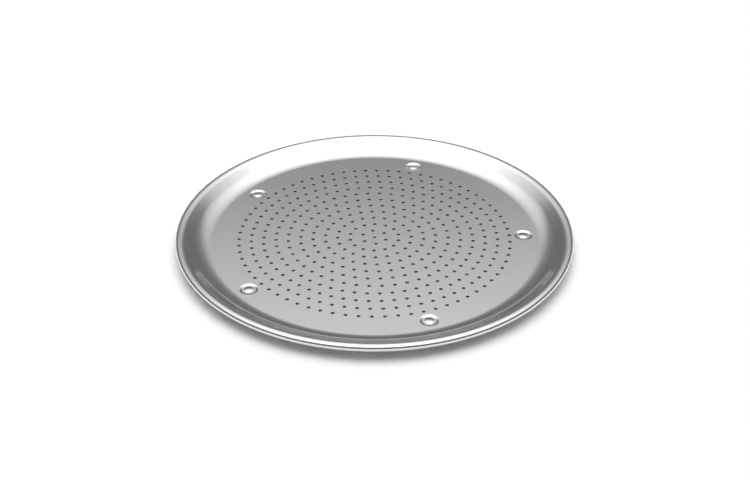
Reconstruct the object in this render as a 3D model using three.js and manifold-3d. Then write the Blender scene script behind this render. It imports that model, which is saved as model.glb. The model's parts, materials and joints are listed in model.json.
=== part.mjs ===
// A round perforated pizza tray: one pressed aluminium sheet with a sloping wall and a rim curled over
// a steel wire. It stands on five small feet, each held by a rivet whose head lies in a seat in the floor.
// Millimetres, +Z up. The origin is on the tray's axis, at the level that the feet stand on.
import * as THREE from "three";
import { mergeGeometries, mergeVertices } from "three/addons/utils/BufferGeometryUtils.js";
import Module from "manifold-3d";

// The whole tray, its sheet, its wall and its curled rim
const OUTER_DIAMETER = 320.5;
const SHEET = 0.8;
const BEND_RADIUS = 25.5; // on the inside, where the floor turns up into the wall
const WALL_SLOPE = 34; // degrees above the floor
const WALL_LENGTH = 7.1; // the straight part, measured along the slope
const SHOULDER_RADIUS = 8; // on the outside, where the wall turns over the crest of the rim
const SHOULDER_OVER = 10; // degrees past the crest, where the tighter curl starts
const CURL_TURN = 250; // degrees from the crest to the edge of the sheet, under the wire
const WIRE_DIAMETER = 3;
const WIRE_CLEARANCE = 0.3;

// The holes: one in the middle, and rings of them that share the floor inside the seats evenly
const HOLE_DIAMETER = 3;
const HOLE_RINGS = 11;

// The five feet, the seats pressed for them and the plain floor round the seats
const FOOT_COUNT = 5;
const FOOT_DIAMETER = 10;
const FOOT_HEIGHT = 1.35;
const FOOT_EDGE = 0.3; // bevel round the face that it stands on
const SEAT_DIAMETER = 15.4;
const SEAT_FLOOR_DIAMETER = 11;
const SEAT_DEPTH = 0.75;
const HOLES_TO_SEAT = 2.3;
const SEAT_TO_WALL = 2.95;

// The rivets: a flat brim with a low dome on it in the seat, and a flat tail closed inside the foot
const RIVET_SHANK_DIAMETER = 3.2;
const RIVET_BRIM_DIAMETER = 10.2;
const RIVET_BRIM_HEIGHT = 0.25;
const RIVET_DOME_DIAMETER = 7.6;
const RIVET_DOME_HEIGHT = 0.45;
const RIVET_TAIL_DIAMETER = 5;
const RIVET_TAIL_HEIGHT = 0.5;
const RIVET_CLEARANCE = 0.15; // round the shank and the tail
const TAIL_RECESS = 0.2; // from the tail up into the foot
const FACE_GAP = 0.1; // between faces that are clamped together

// Facets
const TRAY_SIDES = 36;
const BEND_STEPS = 3;
const SHOULDER_STEPS = 2;
const CURL_STEPS = 6;
const WIRE_SIDES = 6;
const HOLE_SIDES = 5;
const SMALL_SIDES = 12;
const DOME_STEPS = 2;

// Directions in a section, and that of the first foot round the tray, in degrees
const UP = 90;
const DOWN = -90;
const FIRST_FOOT = -90;

// Heights and radii that follow
const tailTop = TAIL_RECESS + RIVET_TAIL_HEIGHT;
const seatTop = FOOT_HEIGHT + FACE_GAP + SHEET;
const floorTop = seatTop + SEAT_DEPTH;
const floorUnderside = floorTop - SHEET;
const curlInside = WIRE_DIAMETER / 2 + WIRE_CLEARANCE;
const curlOutside = curlInside + SHEET;
const slope = THREE.MathUtils.degToRad(WALL_SLOPE);
const bendWidth = BEND_RADIUS * Math.sin(slope);
const wallWidth = WALL_LENGTH * Math.cos(slope);
const shoulderWidth = SHOULDER_RADIUS * Math.sin(slope);
const overWidth = (SHOULDER_RADIUS - curlOutside) * Math.sin(THREE.MathUtils.degToRad(SHOULDER_OVER));
const crestRadius = OUTER_DIAMETER / 2 - curlOutside - overWidth;
const floorRadius = crestRadius - shoulderWidth - wallWidth - bendWidth;
const seatRadius = SEAT_DIAMETER / 2;
const footCircle = floorRadius - SEAT_TO_WALL - seatRadius;
const holePitch = (footCircle - seatRadius - HOLES_TO_SEAT - HOLE_DIAMETER / 2) / HOLE_RINGS;
const shankHoleRadius = RIVET_SHANK_DIAMETER / 2 + RIVET_CLEARANCE;
const CUT_MARGIN = 1; // how far a cutting tool stands clear of what it cuts

const wasm = await Module();
wasm.setup();

// A closed geometry as a solid that can be joined and cut.
function solidOf(geometry) {
  const bare = new THREE.BufferGeometry();
  bare.setAttribute("position", geometry.getAttribute("position"));
  bare.setIndex(geometry.index);
  const merged = mergeVertices(bare);
  return new wasm.Manifold(
    new wasm.Mesh({
      numProp: 3,
      vertProperties: merged.getAttribute("position").array,
      triVerts: new Uint32Array(merged.index.array),
    }),
  );
}

// The other way round: a solid as a flat-shaded geometry.
function geometryOf(solid) {
  const mesh = solid.getMesh();
  const indexed = new THREE.BufferGeometry();
  indexed.setAttribute("position", new THREE.BufferAttribute(mesh.vertProperties, 3));
  indexed.setIndex(new THREE.BufferAttribute(mesh.triVerts, 1));
  const geometry = indexed.toNonIndexed();
  geometry.computeVertexNormals();
  return geometry;
}

// A (radius, height) point.
function point(radius, height) {
  return new THREE.Vector2(radius, height);
}

// A point at a distance from a centre, in a direction given in degrees.
function polar(centre, distance, degrees) {
  const angle = THREE.MathUtils.degToRad(degrees);
  return point(Math.cos(angle), Math.sin(angle)).multiplyScalar(distance).add(centre);
}

// The points of an arc between two directions, with both ends.
function arc(centre, radius, from, to, steps) {
  const turn = (to - from) / steps;
  return Array.from({ length: steps + 1 }, (_, step) => polar(centre, radius, from + step * turn));
}

// A profile turned about Z. The profile has the material on its left.
function revolve(profile, sides) {
  return new THREE.LatheGeometry(profile, sides).rotateX(Math.PI / 2);
}

// An upright prism with the area of a round hole of that radius.
function holeTool(radius, sides, bottom, top) {
  const corner = radius * Math.sqrt((2 * Math.PI) / (sides * Math.sin((2 * Math.PI) / sides)));
  const tool = new THREE.CylinderGeometry(corner, corner, top - bottom, sides);
  return tool.rotateX(Math.PI / 2).translate(0, 0, (bottom + top) / 2);
}

// The middles of the arcs of the section. The wall runs straight on from its bend, the shoulder turns it over
// the crest, and the curl takes it on round the wire.
function arcCentres() {
  const bend = point(floorRadius, floorTop + BEND_RADIUS);
  const bendEnd = polar(bend, BEND_RADIUS, DOWN + WALL_SLOPE);
  const wallEnd = polar(bendEnd, WALL_LENGTH, WALL_SLOPE);
  const shoulder = polar(wallEnd, SHOULDER_RADIUS, DOWN + WALL_SLOPE);
  const curl = polar(shoulder, SHOULDER_RADIUS - curlOutside, UP - SHOULDER_OVER);
  return { bend, shoulder, curl };
}

// The section of the sheet from the axis to the edge of the curl: out along its underside, back on top.
function sheetSection() {
  const { bend, shoulder, curl } = arcCentres();
  const curlStart = UP - SHOULDER_OVER;
  const curlEnd = UP - CURL_TURN;
  return [
    point(0, floorUnderside),
    ...arc(bend, BEND_RADIUS + SHEET, DOWN, DOWN + WALL_SLOPE, BEND_STEPS),
    ...arc(shoulder, SHOULDER_RADIUS - SHEET, UP + WALL_SLOPE, UP, SHOULDER_STEPS),
    ...arc(curl, curlInside, curlStart, curlEnd, CURL_STEPS),
    ...arc(curl, curlOutside, curlEnd, curlStart, CURL_STEPS),
    ...arc(shoulder, SHOULDER_RADIUS, UP, UP + WALL_SLOPE, SHOULDER_STEPS),
    ...arc(bend, BEND_RADIUS, DOWN + WALL_SLOPE, DOWN, BEND_STEPS),
    point(0, floorTop),
  ];
}

// How many holes a ring takes: the fewest even number that brings neighbours no further than one pitch
// apart in a straight line.
function holesInRing(ring) {
  const rounding = 1e-6;
  const exact = Math.PI / Math.asin(1 / (2 * ring));
  return 2 * Math.ceil(exact / 2 - rounding);
}

// The middles of all the holes. Every ring starts on the same line, through the first foot.
function holePlaces() {
  const places = [point(0, 0)];
  for (let ring = 1; ring <= HOLE_RINGS; ring += 1) {
    const count = holesInRing(ring);
    for (let hole = 0; hole < count; hole += 1)
      places.push(polar(point(0, 0), ring * holePitch, FIRST_FOOT + (360 * hole) / count));
  }
  return places;
}

// How far round the tray a foot lies from the first one, which is on the -Y side.
function footTurn(foot) {
  return (2 * Math.PI * foot) / FOOT_COUNT;
}

// The tools that press one seat: the dish added under the floor, and the hollow cut out of it.
function seatTools() {
  const floorEdge = SEAT_FLOOR_DIAMETER / 2;
  const dishSlope = Math.atan2(SEAT_DEPTH, seatRadius - floorEdge);
  const undersideShift = SHEET * Math.tan(dishSlope / 2); // keeps the dish as thick as the sheet
  const middle = floorTop - SHEET / 2;
  const dish = revolve(
    [
      point(0, seatTop - SHEET),
      point(floorEdge + undersideShift, seatTop - SHEET),
      point(seatRadius + undersideShift, floorUnderside),
      point(seatRadius + undersideShift, middle),
      point(0, middle),
    ],
    SMALL_SIDES,
  );
  const hollow = revolve(
    [
      point(0, seatTop),
      point(floorEdge, seatTop),
      point(seatRadius, floorTop),
      point(seatRadius, floorTop + CUT_MARGIN),
      point(0, floorTop + CUT_MARGIN),
    ],
    SMALL_SIDES,
  );
  return { dish, hollow };
}

// The tray itself: the turned section, with the five seats pressed and every hole punched.
function trayGeometry() {
  const atFeet = (tool) =>
    mergeGeometries(
      Array.from({ length: FOOT_COUNT }, (_, foot) =>
        tool.clone().translate(0, -footCircle, 0).rotateZ(footTurn(foot)),
      ),
    );
  const punch = holeTool(HOLE_DIAMETER / 2, HOLE_SIDES, floorUnderside - CUT_MARGIN, floorTop + CUT_MARGIN);
  const punches = holePlaces().map((place) =>
    punch.clone().rotateZ(Math.atan2(place.y, place.x)).translate(place.x, place.y, 0),
  );
  const drill = holeTool(shankHoleRadius, SMALL_SIDES, seatTop - SHEET - CUT_MARGIN, seatTop + CUT_MARGIN);
  const { dish, hollow } = seatTools();
  const tray = solidOf(revolve(sheetSection(), TRAY_SIDES))
    .add(solidOf(atFeet(dish)))
    .subtract(solidOf(atFeet(hollow)))
    .subtract(solidOf(atFeet(drill)))
    .subtract(solidOf(mergeGeometries(punches)));
  return geometryOf(tray);
}

// The hoop of wire inside the curl.
function wireGeometry() {
  const section = arc(arcCentres().curl, WIRE_DIAMETER / 2, 0, 360, WIRE_SIDES);
  return revolve(section, TRAY_SIDES);
}

// A foot: a turned button with a hole for the shank and a counterbore that hides the closed tail.
function footGeometry() {
  const radius = FOOT_DIAMETER / 2;
  const counterbore = RIVET_TAIL_DIAMETER / 2 + RIVET_CLEARANCE;
  const web = tailTop + FACE_GAP;
  return revolve(
    [
      point(shankHoleRadius, web),
      point(counterbore, web),
      point(counterbore, 0),
      point(radius - FOOT_EDGE, 0),
      point(radius, FOOT_EDGE),
      point(radius, FOOT_HEIGHT),
      point(shankHoleRadius, FOOT_HEIGHT),
      point(shankHoleRadius, web),
    ],
    SMALL_SIDES,
  );
}

// A rivet, from its closed tail up to the dome of its head.
function rivetGeometry() {
  const shank = RIVET_SHANK_DIAMETER / 2;
  const tail = RIVET_TAIL_DIAMETER / 2;
  const brim = RIVET_BRIM_DIAMETER / 2;
  const domeFoot = RIVET_DOME_DIAMETER / 2;
  const headBottom = seatTop + FACE_GAP;
  const brimTop = headBottom + RIVET_BRIM_HEIGHT;
  const domeTop = brimTop + RIVET_DOME_HEIGHT;
  const domeRadius = (domeFoot ** 2 + RIVET_DOME_HEIGHT ** 2) / (2 * RIVET_DOME_HEIGHT);
  const domeCentre = point(0, domeTop - domeRadius);
  const domeEdge = THREE.MathUtils.radToDeg(Math.acos(domeFoot / domeRadius));
  const dome = arc(domeCentre, domeRadius, domeEdge, UP, DOME_STEPS).slice(0, -1);
  return revolve(
    [
      point(0, TAIL_RECESS),
      point(tail, TAIL_RECESS),
      point(tail, tailTop),
      point(shank, tailTop),
      point(shank, headBottom),
      point(brim, headBottom),
      point(brim, brimTop),
      ...dome,
      point(0, domeTop),
    ],
    SMALL_SIDES,
  );
}

const sheetMetal = new THREE.MeshStandardMaterial({ color: 0xb4b6b8, roughness: 0.32, metalness: 1 });
const wireMetal = new THREE.MeshStandardMaterial({ color: 0x8c8f92, roughness: 0.45, metalness: 1 });
const rivetMetal = new THREE.MeshStandardMaterial({ color: 0xc2c4c6, roughness: 0.25, metalness: 1 });

// A named mesh.
function piece(name, geometry, material) {
  const mesh = new THREE.Mesh(geometry, material);
  mesh.name = name;
  return mesh;
}

const pizzaTray = new THREE.Group();
pizzaTray.add(piece("tray", trayGeometry(), sheetMetal));
pizzaTray.add(piece("rim_wire", wireGeometry(), wireMetal));
for (let foot = 0; foot < FOOT_COUNT; foot += 1) {
  const place = new THREE.Group();
  place.rotation.z = footTurn(foot);
  const button = piece(`foot_${foot + 1}`, footGeometry(), sheetMetal);
  const rivet = piece(`foot_rivet_${foot + 1}`, rivetGeometry(), rivetMetal);
  button.position.y = -footCircle;
  rivet.position.y = -footCircle;
  place.add(button, rivet);
  pizzaTray.add(place);
}

export default pizzaTray;
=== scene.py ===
# A round perforated pizza tray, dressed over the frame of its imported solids. Metres, +Z up.
import json
import math

import bpy
import numpy as np
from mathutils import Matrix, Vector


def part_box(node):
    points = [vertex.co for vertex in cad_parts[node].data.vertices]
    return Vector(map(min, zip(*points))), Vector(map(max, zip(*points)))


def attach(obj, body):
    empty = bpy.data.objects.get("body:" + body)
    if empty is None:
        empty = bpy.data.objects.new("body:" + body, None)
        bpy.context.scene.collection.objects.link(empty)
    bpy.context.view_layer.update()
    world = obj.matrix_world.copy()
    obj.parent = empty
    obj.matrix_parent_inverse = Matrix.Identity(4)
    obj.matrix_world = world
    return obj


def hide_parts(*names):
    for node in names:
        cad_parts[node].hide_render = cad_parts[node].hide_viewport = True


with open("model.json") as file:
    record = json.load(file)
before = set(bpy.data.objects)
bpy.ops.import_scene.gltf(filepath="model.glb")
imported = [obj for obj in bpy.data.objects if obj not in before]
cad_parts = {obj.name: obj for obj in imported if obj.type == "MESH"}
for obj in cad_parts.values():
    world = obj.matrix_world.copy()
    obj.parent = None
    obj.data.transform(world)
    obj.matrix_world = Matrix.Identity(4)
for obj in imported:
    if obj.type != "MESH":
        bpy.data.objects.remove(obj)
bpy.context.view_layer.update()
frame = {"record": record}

# The tray: one disc of aluminium sheet, punched with rings of small holes, pressed to a flat floor with
# five round seats, and spun up into a low sloping wall whose edge is curled over a wire. The floor keeps
# the satin of rolled sheet, and the forming tool has burnished the wall and the rim.
MM = 0.001
SHEET = 0.8 * MM
BEND_RADIUS = 25.5 * MM  # where the floor turns up into the wall
WALL_SLOPE = math.radians(34)
SHOULDER_RADIUS = 8.0 * MM  # over the crest of the rim
SHOULDER_OVER = math.radians(10)  # past the crest, before the curl
CURL_RADIUS = 2.6 * MM  # to the outside of the sheet
CURL_TURN = math.radians(250)  # from the crest
HOLE_RADIUS = 1.5 * MM
HOLE_RINGS = 11
PUNCH_ROUNDING = 0.04 * MM  # at both ends of a hole, where the sheet is drawn in
HOLES_TO_SEAT = 2.3 * MM
SEAT_RADIUS = 7.7 * MM  # at which the floor starts to dip
SEAT_FLAT = 5.5 * MM  # radius of the level bottom of a seat
SEAT_CORNER = 0.1 * MM  # rounding between the side and the bottom
SEAT_DEPTH = 0.75 * MM
RIVET_HOLE_RADIUS = 1.75 * MM
FOOT_COUNT = 5
FIRST_FOOT = math.radians(-90)
DOWN = math.radians(-90)
UP = math.radians(90)

rim_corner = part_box("tray")[1]
foot_low, foot_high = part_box("foot_1")
mounts = {mount["name"]: mount for mount in frame["record"]["mounts"]}
floor_top = mounts["baking_floor"]["pos_m"][2]
floor_underside = floor_top - SHEET
seat_top = floor_top - SEAT_DEPTH
foot_circle = -(foot_low.y + foot_high.y) / 2
hole_pitch = (foot_circle - SEAT_RADIUS - HOLES_TO_SEAT - HOLE_RADIUS) / HOLE_RINGS
outer_radius = rim_corner.x
rim_top = rim_corner.z
curl_shift = (SHOULDER_RADIUS - CURL_RADIUS) * np.array([math.sin(SHOULDER_OVER), math.cos(SHOULDER_OVER)])
crest_radius = outer_radius - CURL_RADIUS - curl_shift[0]
bend_rise = BEND_RADIUS * (1 - math.cos(WALL_SLOPE))
shoulder_centre = np.array([crest_radius, rim_top - SHOULDER_RADIUS])
curl_centre = shoulder_centre + curl_shift
wall_end = shoulder_centre + SHOULDER_RADIUS * np.array([-math.sin(WALL_SLOPE), math.cos(WALL_SLOPE)])
wall_run = (wall_end[1] - floor_top - bend_rise) / math.tan(WALL_SLOPE)
floor_radius = wall_end[0] - wall_run - BEND_RADIUS * math.sin(WALL_SLOPE)


def arc(centre, radius, start, end, steps, facing):
    """Points of a circle between two angles: centre + radius (cos, sin). The normals run along the radius,
    away from the centre where facing is 1 and towards it where facing is -1."""
    angle = np.linspace(start, end, steps + 1)
    along = np.stack([np.cos(angle), np.sin(angle)], axis=-1)
    return np.asarray(centre) + radius * along, facing * along


def level(radii, height, facing):
    """Points of a level stretch of a section, with the normals straight up (1) or straight down (-1)."""
    radii = np.asarray(radii, float)
    upright = np.stack([np.zeros_like(radii), np.full_like(radii, facing)], axis=-1)
    return np.stack([radii, np.full_like(radii, height)], axis=-1), upright


def chain(*stretches):
    """Stretches of a section, each of points and normals, one after another."""
    return tuple(np.concatenate(arrays) for arrays in zip(*stretches))


def grid_patch(points, normals):
    """A patch of skin from copies of a grid of rows and columns: each face lies between two neighbouring
    rows and two neighbouring columns, and the last column joins the first."""
    copies, rows, columns = points.shape[:3]
    copy, row, column = np.meshgrid(
        np.arange(copies), np.arange(rows - 1), np.arange(columns), indexing="ij"
    )
    following = (column + 1) % columns
    here = (copy * rows + row) * columns
    below = here + columns
    corners = [here + column, here + following, below + following, below + column]
    return points.reshape(-1, 3), normals.reshape(-1, 3), np.stack(corners, axis=-1).reshape(-1, 4)


def turned(section, angles, middle=(0, 0)):
    """A section of (radius, height) turned about an upright axis: x = radius cos(angle),
    y = radius sin(angle), moved to the middle. Along the section the material lies on the left."""
    points, normals = section
    cos, sin = np.cos(angles), np.sin(angles)

    def swept(pairs):
        out, height = pairs[:, :1], pairs[:, 1:]
        return np.stack([out * cos, out * sin, np.broadcast_to(height, out.shape[:1] + cos.shape)], axis=-1)

    place = np.array([middle[0], middle[1], 0])
    return grid_patch(swept(points)[None] + place, swept(normals)[None])


def square_edge(steps):
    """Points round the edge of the square from -1 to 1, counter-clockwise from its lower right corner,
    with the same number of steps on each side. Returns the two coordinates."""
    rise = np.linspace(-1, 1, steps, endpoint=False)
    side = np.ones(steps)
    return np.concatenate([side, -rise, -side, rise]), np.concatenate([rise, side, -rise, -side])


def pierced_cells(section, ring_radius, turns, half_width, half_angle, steps):
    """Like round features on one ring of the floor, each in a cell of its own. A cell's edge, on top and
    again on the underside, is a square bent round the tray: radius = ring radius + half width * u,
    angle = turn + half angle * v. Between the two edges run the circles of the feature's section about the
    middle of the cell."""
    u, v = square_edge(steps)
    edge_radius = np.broadcast_to(ring_radius + half_width * u, (len(turns), len(u)))
    edge_angle = turns[:, None] + half_angle * v
    edge = np.stack([edge_radius * np.cos(edge_angle), edge_radius * np.sin(edge_angle)], axis=-1)
    around = np.linspace(0, 2 * math.pi, len(u), endpoint=False) - math.pi / 4
    out_way = np.stack([np.cos(turns), np.sin(turns)], axis=-1)[:, None, None]
    side_way = np.stack([-np.sin(turns), np.cos(turns)], axis=-1)[:, None, None]
    cos, sin = np.cos(around)[:, None], np.sin(around)[:, None]
    ways = cos * out_way + sin * side_way

    def framed(flat, heights, upper, lower):
        heights = np.broadcast_to(heights[:, None, None], flat.shape[:3] + (1,))
        rows = np.concatenate([flat, heights], axis=-1)
        return np.concatenate([upper[:, None], rows, lower[:, None]], axis=1)

    def at_height(height):
        return np.concatenate([edge, np.full(edge.shape[:2] + (1,), height)], axis=-1)

    def upright(facing):
        return np.broadcast_to(np.array([0, 0, facing], float), edge.shape[:2] + (3,))

    points, normals = section
    circles = ring_radius * out_way + points[:, :1, None] * ways
    return grid_patch(
        framed(circles, points[:, 1], at_height(floor_top), at_height(floor_underside)),
        framed(normals[:, :1, None] * ways, normals[:, 1], upright(1), upright(-1)),
    )


def flat_strip(inner_radius, inner_angles, outer_radius, outer_angles):
    """The level strip of floor between two circles that have different points. Both are walked in order of
    angle from their first points, which lie close together, and each edge of one circle makes a triangle
    with the point that is then reached on the other."""
    inner, outer = np.sort(inner_angles), np.sort(outer_angles)
    count_in, count_out = len(inner), len(outer)
    mid_in = inner + np.diff(inner, append=inner[0] + 2 * math.pi) / 2
    mid_out = outer + np.diff(outer, append=outer[0] + 2 * math.pi) / 2
    step_in, step_out = np.arange(count_in), np.arange(count_out)
    apex_out = np.searchsorted(mid_out, mid_in, side="left") % count_out + count_in
    apex_in = np.searchsorted(mid_in, mid_out, side="right") % count_in
    inward = np.stack([step_in, apex_out, (step_in + 1) % count_in], axis=-1)
    outward = np.stack([step_out + count_in, (step_out + 1) % count_out + count_in, apex_in], axis=-1)
    radii = np.concatenate([np.full(count_in, inner_radius), np.full(count_out, outer_radius)])
    angles = np.concatenate([inner, outer])
    heights = np.full_like(radii, floor_top)
    points = np.stack([radii * np.cos(angles), radii * np.sin(angles), heights], axis=-1)
    normals = np.broadcast_to(np.array([0.0, 0.0, 1.0]), points.shape)
    return points, normals, np.concatenate([inward, outward])


def underside(patch):
    """The same level patch one sheet lower, facing down."""
    points, normals, faces = patch
    return points - np.array([0, 0, SHEET]), -normals, faces[:, ::-1]


MERGE_GRAIN = 0.001 * MM  # points in the same cube of this size become one


def joined(patches):
    """Patches as one skin: their points are listed one after another, and those that fall into the same
    grain become one. A face that closes up at the axis keeps the corners that are left."""
    starts = np.cumsum([0] + [len(points) for points, _, _ in patches])
    points = np.concatenate([points for points, _, _ in patches])
    normals = np.concatenate([normals for _, normals, _ in patches])
    grain = np.round(points / MERGE_GRAIN).astype(np.int64)
    _, first, merged = np.unique(grain, axis=0, return_index=True, return_inverse=True)
    merged = merged.reshape(-1)
    corners = [face for start, patch in zip(starts, patches) for face in merged[patch[2] + start].tolist()]
    faces = [tuple(dict.fromkeys(face)) for face in corners]
    return points[first], normals[first], faces


def make_piece(name, patches, material, middle=(0, 0)):
    """A smooth mesh object of the joined patches, at the origin, with the normals that the formulas give.
    Each point keeps its place in the section: its distance from the upright axis through the middle, and its
    height."""
    points, normals, faces = joined(patches)
    mesh = bpy.data.meshes.new(name)
    mesh.from_pydata(points.tolist(), [], faces)
    mesh.polygons.foreach_set("use_smooth", np.ones(len(faces), bool))
    mesh.normals_split_custom_set_from_vertices(normals.tolist())
    reach = np.hypot(points[:, 0] - middle[0], points[:, 1] - middle[1])
    section = np.stack([reach, points[:, 2], np.zeros_like(reach)], axis=-1)
    mesh.attributes.new("section", "FLOAT_VECTOR", "POINT").data.foreach_set("vector", section.ravel())
    mesh.materials.append(material)
    piece = bpy.data.objects.new(name, mesh)
    bpy.context.collection.objects.link(piece)
    return piece


# Each ring of holes starts on the line through the first foot. It takes the fewest even number of holes that
# brings neighbours no further than one pitch apart.
HOLE_STEPS = 4  # on each side of a hole's cell
COUNT_SLACK = 1e-6  # for rounding, where a ring takes a whole number of pitches
CELL_HALF_WIDTH = hole_pitch / 4
hole_ends = [floor_top - PUNCH_ROUNDING, floor_underside + PUNCH_ROUNDING]
hole_section = chain(
    level([HOLE_RADIUS + PUNCH_ROUNDING], floor_top, 1),
    (
        np.array([[HOLE_RADIUS, height] for height in hole_ends]),
        np.array([[-1.0, 0.0] for _ in hole_ends]),
    ),
    level([HOLE_RADIUS + PUNCH_ROUNDING], floor_underside, -1),
)
middle_section = chain(
    level([CELL_HALF_WIDTH], floor_top, 1), hole_section, level([CELL_HALF_WIDTH], floor_underside, -1)
)
middle_angles = FIRST_FOOT + np.linspace(0, 2 * math.pi, 4 * HOLE_STEPS, endpoint=False)
tray_patches = [turned(middle_section, middle_angles)]
inner_radius, inner_angles = CELL_HALF_WIDTH, middle_angles
for ring in range(1, HOLE_RINGS + 1):
    count = 2 * math.ceil(math.pi / math.asin(0.5 / ring) / 2 - COUNT_SLACK)
    half_angle = math.pi / count
    turns = FIRST_FOOT + 2 * half_angle * np.arange(count)
    radius = ring * hole_pitch
    tray_patches.append(
        pierced_cells(hole_section, radius, turns, CELL_HALF_WIDTH, half_angle, HOLE_STEPS)
    )
    corners = half_angle * np.linspace(-1, 1, HOLE_STEPS, endpoint=False)
    ring_angles = (turns[:, None] + corners).reshape(-1)
    strip = flat_strip(inner_radius, inner_angles, radius - CELL_HALF_WIDTH, ring_angles)
    tray_patches += [strip, underside(strip)]
    inner_radius, inner_angles = radius + CELL_HALF_WIDTH, ring_angles

# The five seats lie in a plain band of the floor, between the holes and the wall. The floor rolls over into
# them: the fall grows with the square of the way in.
TRAY_COLUMNS = 360  # round the tray
SEAT_STEPS = 10  # on each side of a seat's cell
SEAT_CELL_HALF_WIDTH = 8.3 * MM
SEAT_ROWS = 10  # down the side of a seat
column_angles = FIRST_FOOT + np.linspace(0, 2 * math.pi, TRAY_COLUMNS, endpoint=False)
column_width = 2 * math.pi / TRAY_COLUMNS
dip = np.linspace(0, 1, SEAT_ROWS + 1)
dip_width = SEAT_RADIUS - SEAT_FLAT
dip_points = np.stack([SEAT_RADIUS - dip_width * dip, floor_top - SEAT_DEPTH * dip**2], axis=-1)
dip_slope = SEAT_DEPTH * 2 * dip / dip_width
dip_normals = np.stack([-dip_slope, np.ones_like(dip)], axis=-1) / np.hypot(dip_slope, 1)[:, None]
seat_section = chain(
    (dip_points, dip_normals),
    level([SEAT_FLAT - SEAT_CORNER, RIVET_HOLE_RADIUS], seat_top, 1),
    level([RIVET_HOLE_RADIUS], seat_top - SHEET, -1),
    (dip_points[::-1] - SHEET * dip_normals[::-1], -dip_normals[::-1]),
)
foot_turns = FIRST_FOOT + 2 * math.pi * np.arange(FOOT_COUNT) / FOOT_COUNT
seat_half_angle = SEAT_STEPS / 2 * column_width
tray_patches.append(
    pierced_cells(seat_section, foot_circle, foot_turns, SEAT_CELL_HALF_WIDTH, seat_half_angle, SEAT_STEPS)
)
band_radii = foot_circle + np.linspace(1, -1, SEAT_STEPS + 1) * SEAT_CELL_HALF_WIDTH
band_points, band_normals, band_faces = turned(level(band_radii, floor_top, 1), column_angles)
past_seat = (np.arange(TRAY_COLUMNS) + SEAT_STEPS // 2) % (TRAY_COLUMNS // FOOT_COUNT)
band_faces = band_faces.reshape(SEAT_STEPS, TRAY_COLUMNS, 4)[:, past_seat >= SEAT_STEPS].reshape(-1, 4)
band = band_points, band_normals, band_faces
strip = flat_strip(inner_radius, inner_angles, band_radii[-1], column_angles)
tray_patches += [band, underside(band), strip, underside(strip)]

# The bend, the wall and the curl: out along the underside, round the inside of the curl, and back on top.
BEND_STEPS = 8
SHOULDER_STEPS = 8
CURL_STEPS = 24
bend_centre = np.array([floor_radius, floor_top + BEND_RADIUS])
curl_start, curl_end = UP - SHOULDER_OVER, UP - CURL_TURN
wall_section = chain(
    level([band_radii[0]], floor_underside, -1),
    arc(bend_centre, BEND_RADIUS + SHEET, DOWN, DOWN + WALL_SLOPE, BEND_STEPS, 1),
    arc(shoulder_centre, SHOULDER_RADIUS - SHEET, UP + WALL_SLOPE, curl_start, SHOULDER_STEPS, -1),
    arc(curl_centre, CURL_RADIUS - SHEET, curl_start, curl_end, CURL_STEPS, -1),
    arc(curl_centre, CURL_RADIUS, curl_end, curl_start, CURL_STEPS, 1),
    arc(shoulder_centre, SHOULDER_RADIUS, curl_start, UP + WALL_SLOPE, SHOULDER_STEPS, 1),
    arc(bend_centre, BEND_RADIUS, DOWN + WALL_SLOPE, DOWN, BEND_STEPS, -1),
    level([band_radii[0]], floor_top, 1),
)
tray_patches.append(turned(wall_section, column_angles))


def linear(code):
    """An sRGB colour such as "#c0c4c8" as the linear RGBA that a shader takes."""
    channels = np.array([int(code[place : place + 2], 16) for place in (1, 3, 5)]) / 255
    straight = np.where(channels <= 0.04045, channels / 12.92, ((channels + 0.055) / 1.055) ** 2.4)
    return (*straight.tolist(), 1.0)


def add_node(tree, kind, inputs, **settings):
    """Adds one node. The settings are its own options, and each input is a plain value or another node's
    output socket."""
    node = tree.nodes.new(kind)
    for option, value in settings.items():
        setattr(node, option, value)
    for socket, value in inputs.items():
        if isinstance(value, bpy.types.NodeSocket):
            tree.links.new(value, node.inputs[socket])
        else:
            node.inputs[socket].default_value = value
    return node


def new_material(name):
    """A new material with its node tree and its shader."""
    material = bpy.data.materials.new(name)
    material.use_nodes = True
    tree = material.node_tree
    return material, tree, tree.nodes["Principled BSDF"]


# Rolled aluminium sheet. The mill leaves fine straight streaks, which give the floor its satin, and spinning
# leaves a smoother wall with faint rings. Both are really finer than a tenth of a millimetre, and are drawn
# coarse enough to show.
ALUMINIUM = "#e4e4e4"
ALUMINIUM_STREAK = "#e0e0e0"
FLOOR_ROUGHNESS = 0.14
WALL_ROUGHNESS = 0.1
WALL_HAZE = 0.27  # share of the light that the finest tool marks on the wall scatter
HAZE_ROUGHNESS = 0.28
STREAK_WIDTH = 0.9 * MM
STREAK_LENGTH = 40 * MM
RING_WIDTH = 0.8 * MM
STREAK_SPREAD = 0.02  # of roughness
NOISE_LOW = 0.3  # nearly all of a noise lies between these two
NOISE_HIGH = 0.7
SPUN_FROM = -2 * MM  # from the edge of the floor, where the streaks start to give way to the rings
SPUN_TO = 8 * MM
# painted shade: the dark colour of the holes' walls stands in for the shade inside the holes
HOLE_WALL_PAINTED_SHADE = "#555352"
SHEARED_ROUGHNESS = 0.5
SHEARED_RISE = 0.5  # upright part of the normal, below which the metal of the floor is a hole's wall
tray_metal, tree, shader = new_material("rolled_and_spun_aluminium")
place = add_node(tree, "ShaderNodeTexCoord", {}).outputs["Object"]
section = add_node(tree, "ShaderNodeAttribute", {}, attribute_name="section").outputs["Vector"]
from_axis = add_node(tree, "ShaderNodeSeparateXYZ", {"Vector": section}).outputs["X"]
streak_place = add_node(
    tree,
    "ShaderNodeMapping",
    {"Vector": place, "Scale": (1 / STREAK_LENGTH, 1 / STREAK_WIDTH, 1 / STREAK_WIDTH)},
)
streaks = add_node(
    tree, "ShaderNodeTexNoise", {"Vector": streak_place.outputs["Vector"], "Scale": 1.0, "Detail": 3.0}
)
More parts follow.
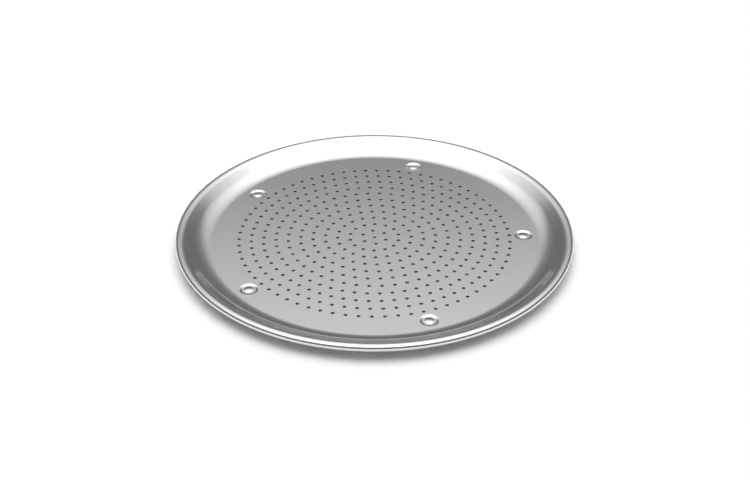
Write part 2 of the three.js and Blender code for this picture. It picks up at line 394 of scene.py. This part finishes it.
rings = add_node(tree, "ShaderNodeTexNoise", {"Vector": section, "Scale": 1 / RING_WIDTH, "Detail": 2.0})
spun = add_node(
    tree,
    "ShaderNodeMapRange",
    {"Value": from_axis, "From Min": floor_radius + SPUN_FROM, "From Max": floor_radius + SPUN_TO},
    interpolation_type="SMOOTHSTEP",
).outputs["Result"]
marks = add_node(
    tree, "ShaderNodeMix", {"Factor": spun, "A": streaks.outputs["Fac"], "B": rings.outputs["Fac"]}
).outputs["Result"]
smoothness = add_node(
    tree, "ShaderNodeMix", {"Factor": spun, "A": FLOOR_ROUGHNESS, "B": WALL_ROUGHNESS}
).outputs["Result"]
mark_roughness = add_node(
    tree,
    "ShaderNodeMapRange",
    {
        "Value": marks,
        "From Min": NOISE_LOW,
        "From Max": NOISE_HIGH,
        "To Min": -STREAK_SPREAD,
        "To Max": STREAK_SPREAD,
    },
).outputs["Result"]
roughness = add_node(
    tree, "ShaderNodeMath", {0: smoothness, 1: mark_roughness}, operation="ADD"
).outputs["Value"]
colour = add_node(
    tree,
    "ShaderNodeMix",
    {"Factor": marks, 6: linear(ALUMINIUM_STREAK), 7: linear(ALUMINIUM)},
    data_type="RGBA",
).outputs[2]

# The punch shears the walls of the holes, which stay matt. Their dark colour is painted shade, standing in
# for the shade down inside each hole.
facing = add_node(tree, "ShaderNodeNewGeometry", {}).outputs["Normal"]
facing_up = add_node(tree, "ShaderNodeSeparateXYZ", {"Vector": facing}).outputs["Z"]
rise = add_node(tree, "ShaderNodeMath", {0: facing_up}, operation="ABSOLUTE").outputs["Value"]
steep = add_node(tree, "ShaderNodeMath", {0: rise, 1: SHEARED_RISE}, operation="LESS_THAN").outputs["Value"]
on_floor = add_node(
    tree, "ShaderNodeMath", {0: from_axis, 1: floor_radius}, operation="LESS_THAN"
).outputs["Value"]
sheared_and_shaded = add_node(tree, "ShaderNodeMath", {0: steep, 1: on_floor}, operation="MULTIPLY").outputs["Value"]
# Painted shade: the holes' walls take the dark colour, while their higher roughness is the sheared metal's
# own.
colour = add_node(
    tree, "ShaderNodeMix", {"Factor": sheared_and_shaded, 6: colour, 7: linear(HOLE_WALL_PAINTED_SHADE)}, data_type="RGBA"
).outputs[2]
roughness = add_node(
    tree, "ShaderNodeMix", {"Factor": sheared_and_shaded, "A": roughness, "B": SHEARED_ROUGHNESS}
).outputs["Result"]
tree.links.new(colour, shader.inputs["Base Color"])
tree.links.new(roughness, shader.inputs["Roughness"])
shader.inputs["Metallic"].default_value = 1.0

# The finest tool marks on the wall and the rim scatter a part of the light into a haze round the mirror
# image.
hazy_metal = add_node(
    tree,
    "ShaderNodeBsdfPrincipled",
    {"Base Color": colour, "Metallic": 1.0, "Roughness": HAZE_ROUGHNESS},
).outputs["BSDF"]
haze = add_node(tree, "ShaderNodeMath", {0: spun, 1: WALL_HAZE}, operation="MULTIPLY").outputs["Value"]
finish = add_node(
    tree, "ShaderNodeMixShader", {0: haze, 1: shader.outputs["BSDF"], 2: hazy_metal}
).outputs["Shader"]
tree.links.new(finish, tree.nodes["Material Output"].inputs["Surface"])

tray = make_piece("pressed_tray", tray_patches, tray_metal)
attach(tray, "root")
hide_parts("tray")

# The rim wire: a hoop of drawn steel that the edge of the sheet is curled round. It stiffens the rim, and
# shows only in the narrow gap under the curl.
MARK_SWING = 0.25  # share by which marks move the roughness up or down


def worked_metal(name, dark, light, roughness, mark_width):
    """A metal with marks that run round the axis of its piece: noise over the section, as wide as a mark,
    mixes the two colours, and moves the roughness up or down by the swing."""
    material, tree, shader = new_material(name)
    section = add_node(tree, "ShaderNodeAttribute", {}, attribute_name="section").outputs["Vector"]
    noise = add_node(tree, "ShaderNodeTexNoise", {"Vector": section, "Scale": 1 / mark_width, "Detail": 3.0})
    marks = add_node(
        tree,
        "ShaderNodeMapRange",
        {"Value": noise.outputs["Fac"], "From Min": NOISE_LOW, "From Max": NOISE_HIGH},
    ).outputs["Result"]
    colour = add_node(
        tree, "ShaderNodeMix", {"Factor": marks, 6: linear(dark), 7: linear(light)}, data_type="RGBA"
    )
    smoothness = add_node(
        tree,
        "ShaderNodeMapRange",
        {"Value": marks, "To Min": (1 + MARK_SWING) * roughness, "To Max": (1 - MARK_SWING) * roughness},
    )
    tree.links.new(colour.outputs[2], shader.inputs["Base Color"])
    tree.links.new(smoothness.outputs["Result"], shader.inputs["Roughness"])
    shader.inputs["Metallic"].default_value = 1.0
    return material


WIRE_RADIUS = 1.5 * MM
WIRE_STEPS = 16
STEEL_DARK = "#96989b"
STEEL_LIGHT = "#b4b6b8"
STEEL_ROUGHNESS = 0.35
DRAWN_LINE = 0.25 * MM  # the die leaves lines along the wire, about twice as fine as drawn here
wire_metal = worked_metal("drawn_steel", STEEL_DARK, STEEL_LIGHT, STEEL_ROUGHNESS, DRAWN_LINE)
wire_section = arc(curl_centre, WIRE_RADIUS, 0, 2 * math.pi, WIRE_STEPS, 1)
hoop = make_piece("hoop_of_wire", [turned(wire_section, column_angles)], wire_metal)
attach(hoop, "root")
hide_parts("rim_wire")


# The feet: low aluminium buttons turned from bar, each with a hole for its rivet and a wide counterbore that
# hides the closed tail. They lift the floor so that hot air reaches the holes.
def rounded(corners, rounding, steps=4):
    """A section of straight sides whose inner corners are rounded: each corner gives way to an arc that
    leaves one side and meets the next at a tangent, rounding * tan(half the turn) from the corner. The first
    and last points stay, with the normals of their sides."""
    corners = np.asarray(corners, float)
    sides = np.diff(corners, axis=0)
    sides /= np.hypot(sides[:, 0], sides[:, 1])[:, None]
    facing = np.stack([sides[:, 1], -sides[:, 0]], axis=-1)
    before, after = facing[:-1], facing[1:]
    turn = np.arctan2(
        before[:, 0] * after[:, 1] - before[:, 1] * after[:, 0], (before * after).sum(axis=1)
    )
    hand = np.sign(turn)[:, None]
    reach = rounding * np.tan(np.abs(turn) / 2)[:, None]
    centres = corners[1:-1] - sides[:-1] * reach - hand * rounding * before
    angle = np.arctan2(before[:, 1], before[:, 0])[:, None] + turn[:, None] * np.linspace(0, 1, steps + 1)
    along = np.stack([np.cos(angle), np.sin(angle)], axis=-1)
    points = centres[:, None] + hand[:, None] * rounding * along
    ends = corners[[0, -1]]
    return chain(
        (ends[:1], facing[:1]),
        (points.reshape(-1, 2), along.reshape(-1, 2)),
        (ends[1:], facing[-1:]),
    )


FOOT_RADIUS = 5.0 * MM
FOOT_HEIGHT = 1.35 * MM
FOOT_EDGE = 0.15 * MM
FOOT_BORE_RADIUS = 1.75 * MM
COUNTERBORE_RADIUS = 2.65 * MM
COUNTERBORE_DEPTH = 0.8 * MM
SMALL_COLUMNS = 48  # round a foot or a rivet
FOOT_DARK = "#c4c6c9"
FOOT_LIGHT = "#dcdddf"
FOOT_ROUGHNESS = 0.3
TOOL_MARK = 0.3 * MM  # the lathe tool leaves rings, about twice as fine as drawn here
foot_metal = worked_metal("turned_aluminium", FOOT_DARK, FOOT_LIGHT, FOOT_ROUGHNESS, TOOL_MARK)
half_web = (COUNTERBORE_DEPTH + FOOT_HEIGHT) / 2
foot_section = rounded(
    [
        (FOOT_BORE_RADIUS, half_web),
        (FOOT_BORE_RADIUS, COUNTERBORE_DEPTH),
        (COUNTERBORE_RADIUS, COUNTERBORE_DEPTH),
        (COUNTERBORE_RADIUS, 0),
        (FOOT_RADIUS, 0),
        (FOOT_RADIUS, FOOT_HEIGHT),
        (FOOT_BORE_RADIUS, FOOT_HEIGHT),
        (FOOT_BORE_RADIUS, half_web),
    ],
    FOOT_EDGE,
)
small_angles = np.linspace(0, 2 * math.pi, SMALL_COLUMNS, endpoint=False)
foot_places = foot_circle * np.stack([np.cos(foot_turns), np.sin(foot_turns)], axis=-1)
for number, middle in enumerate(foot_places, 1):
    foot_patch = turned(foot_section, small_angles, middle)
    foot = make_piece(f"foot_button_{number}", [foot_patch], foot_metal, middle)
    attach(foot, "root")
    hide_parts(f"foot_{number}")

# The rivets: soft bright aluminium, one through each seat and its foot. The head is a flat brim with a low
# dome that comes about level with the floor, and the tail is closed flat inside the foot.
SHANK_RADIUS = 1.6 * MM
HEAD_RADIUS = 5.1 * MM
BRIM_HEIGHT = 0.25 * MM
DOME_RADIUS = 3.8 * MM
DOME_HEIGHT = 0.45 * MM
DOME_CORNER = 0.15 * MM
TAIL_RADIUS = 2.5 * MM
TAIL_BOTTOM = 0.2 * MM
TAIL_TOP = 0.7 * MM
HEAD_GAP = 0.1 * MM  # from the seat to the head
EDGE_STEPS = 8
DOME_STEPS = 10
TAIL_EDGE = 0.1 * MM
RIVET_DARK = "#dfe0e2"
RIVET_LIGHT = "#ebeced"
RIVET_ROUGHNESS = 0.1
HEADING_MARK = 0.6 * MM  # the heading die is polished, and leaves only faint rings
rivet_metal = worked_metal("cold_headed_aluminium", RIVET_DARK, RIVET_LIGHT, RIVET_ROUGHNESS, HEADING_MARK)
head_bottom = seat_top + HEAD_GAP
brim_top = head_bottom + BRIM_HEIGHT
brim_edge = BRIM_HEIGHT / 2
dome_curve = (DOME_RADIUS**2 + DOME_HEIGHT**2) / (2 * DOME_HEIGHT)
dome_edge = math.acos(DOME_RADIUS / dome_curve)
rivet_section = chain(
    rounded(
        [
            (0, TAIL_BOTTOM),
            (TAIL_RADIUS, TAIL_BOTTOM),
            (TAIL_RADIUS, TAIL_TOP),
            (SHANK_RADIUS, TAIL_TOP),
            (SHANK_RADIUS, head_bottom),
            (HEAD_RADIUS - brim_edge, head_bottom),
        ],
        TAIL_EDGE,
    ),
    arc((HEAD_RADIUS - brim_edge, head_bottom + brim_edge), brim_edge, DOWN, UP, EDGE_STEPS, 1),
    level([DOME_RADIUS + DOME_CORNER], brim_top, 1),
    arc((0, brim_top + DOME_HEIGHT - dome_curve), dome_curve, dome_edge, UP, DOME_STEPS, 1),
)
for number, middle in enumerate(foot_places, 1):
    rivet_patch = turned(rivet_section, small_angles, middle)
    rivet = make_piece(f"rivet_{number}", [rivet_patch], rivet_metal, middle)
    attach(rivet, "root")
    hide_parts(f"foot_rivet_{number}")

# The studio floor: a wide sheet of matt white paper. Light that reaches the camera straight or by way of the
# metal gets a small lift, so that the paper comes out white and still takes the tray's shadow.
PAPER = "#fdfdfd"
PAPER_HALF_WIDTH = 10.0
PAPER_LIFT = 0.02
paper, tree, shader = new_material("matt_white_paper")
shader.inputs["Base Color"].default_value = linear(PAPER)
shader.inputs["Roughness"].default_value = 1.0
shader.inputs["Specular IOR Level"].default_value = 0.0
shader.inputs["Emission Color"].default_value = (1, 1, 1, 1)
light_path = add_node(tree, "ShaderNodeLightPath", {})
seen = add_node(
    tree,
    "ShaderNodeMath",
    {0: light_path.outputs["Is Camera Ray"], 1: light_path.outputs["Is Glossy Ray"]},
    operation="MAXIMUM",
).outputs["Value"]
seen = add_node(
    tree, "ShaderNodeMath", {0: seen, 1: light_path.outputs["Is Transmission Ray"]}, operation="MAXIMUM"
).outputs["Value"]
lift = add_node(tree, "ShaderNodeMath", {0: seen, 1: PAPER_LIFT}, operation="MULTIPLY").outputs["Value"]
tree.links.new(lift, shader.inputs["Emission Strength"])
floor_mesh = bpy.data.meshes.new("studio_floor")
floor_corners = PAPER_HALF_WIDTH * np.array([[-1, -1, 0], [1, -1, 0], [1, 1, 0], [-1, 1, 0]])
floor_mesh.from_pydata(floor_corners.tolist(), [], [(0, 1, 2, 3)])
floor_mesh.materials.append(paper)
floor = bpy.data.objects.new("studio_floor", floor_mesh)
bpy.context.collection.objects.link(floor)

# The studio: a ceiling of soft light above walls that are equally dim all round. The ceiling hangs a little
# behind the tray and is dimmer on the camera's side, so the metal is light where it faces up and grey where
# it faces a wall.
CAMERA_TURN = math.radians(52.466)  # round the tray, from looking along +Y
CEILING_LEAN = math.radians(7)  # from straight up, away from the camera
WALLS = 0.165  # brightness of the studio's walls
CEILING = {  # brightness by degrees above the ceiling's own horizon
    0: 0,
    27: 0.18,
    34: 0.23,
    37.3: 0.378,
    39.7: 0.552,
    42.3: 0.7,
    45: 0.785,
    49: 0.97,
    55: 1.2,
    62: 1.9,
    70: 2.6,
    90: 3.0,
}
CAMERA_SIDE_LIGHT = 0.5
CAMERA_SIDE_SPREAD = (0.35, 0.7)  # cosines of the angle from the level direction of the camera
world = bpy.data.worlds.new("studio")
bpy.context.scene.world = world
world.use_nodes = True
tree = world.node_tree
direction = add_node(tree, "ShaderNodeTexCoord", {}).outputs["Generated"]
to_camera = np.array([math.sin(CAMERA_TURN), -math.cos(CAMERA_TURN), 0])
ceiling_axis = np.array([0, 0, math.cos(CEILING_LEAN)]) - math.sin(CEILING_LEAN) * to_camera
rise = add_node(
    tree, "ShaderNodeVectorMath", {0: direction, 1: ceiling_axis.tolist()}, operation="DOT_PRODUCT"
).outputs["Value"]
ceiling = add_node(tree, "ShaderNodeValToRGB", {"Fac": rise})
stops = ceiling.color_ramp.elements
for _ in range(len(CEILING) - len(stops)):
    stops.new(0.5)
for stop, (degrees, brightness) in zip(stops, CEILING.items()):
    stop.position = math.sin(math.radians(degrees))
    stop.color = (brightness, brightness, brightness, 1)
nearness = add_node(
    tree, "ShaderNodeVectorMath", {0: direction, 1: to_camera.tolist()}, operation="DOT_PRODUCT"
).outputs["Value"]
strength = add_node(
    tree,
    "ShaderNodeMapRange",
    {
        "Value": nearness,
        "From Min": CAMERA_SIDE_SPREAD[0],
        "From Max": CAMERA_SIDE_SPREAD[1],
        "To Min": 1.0,
        "To Max": CAMERA_SIDE_LIGHT,
    },
    interpolation_type="SMOOTHSTEP",
).outputs["Result"]
shaded = add_node(
    tree, "ShaderNodeMath", {0: ceiling.outputs["Color"], 1: strength}, operation="MULTIPLY"
).outputs["Value"]
brightness = add_node(tree, "ShaderNodeMath", {0: shaded, 1: WALLS}, operation="MAXIMUM").outputs["Value"]
tree.links.new(brightness, tree.nodes["Background"].inputs["Strength"])
tree.nodes["Background"].inputs["Color"].default_value = (1, 1, 1, 1)

# The camera: where the photograph was taken from, found from the pattern of holes.
CAMERA_PITCH = math.radians(32.618)  # downwards
CAMERA_REACH = 894.7 * MM  # from the tray's axis
CAMERA_SIDE = 0.4 * MM
CAMERA_RISE = 569.8 * MM  # above the floor of the tray
LENS = 62.55  # for a frame 36 mm wide
camera_data = bpy.data.cameras.new("photo_camera")
camera_data.lens = LENS
camera = bpy.data.objects.new("photo_camera", camera_data)
bpy.context.collection.objects.link(camera)
camera.location = (
    CAMERA_REACH * math.sin(CAMERA_TURN) + CAMERA_SIDE * math.cos(CAMERA_TURN),
    -CAMERA_REACH * math.cos(CAMERA_TURN) + CAMERA_SIDE * math.sin(CAMERA_TURN),
    CAMERA_RISE + floor_top,
)
camera.rotation_euler = (UP - CAMERA_PITCH, 0, CAMERA_TURN)
bpy.context.scene.camera = camera
bpy.context.scene.view_settings.view_transform = "Standard"
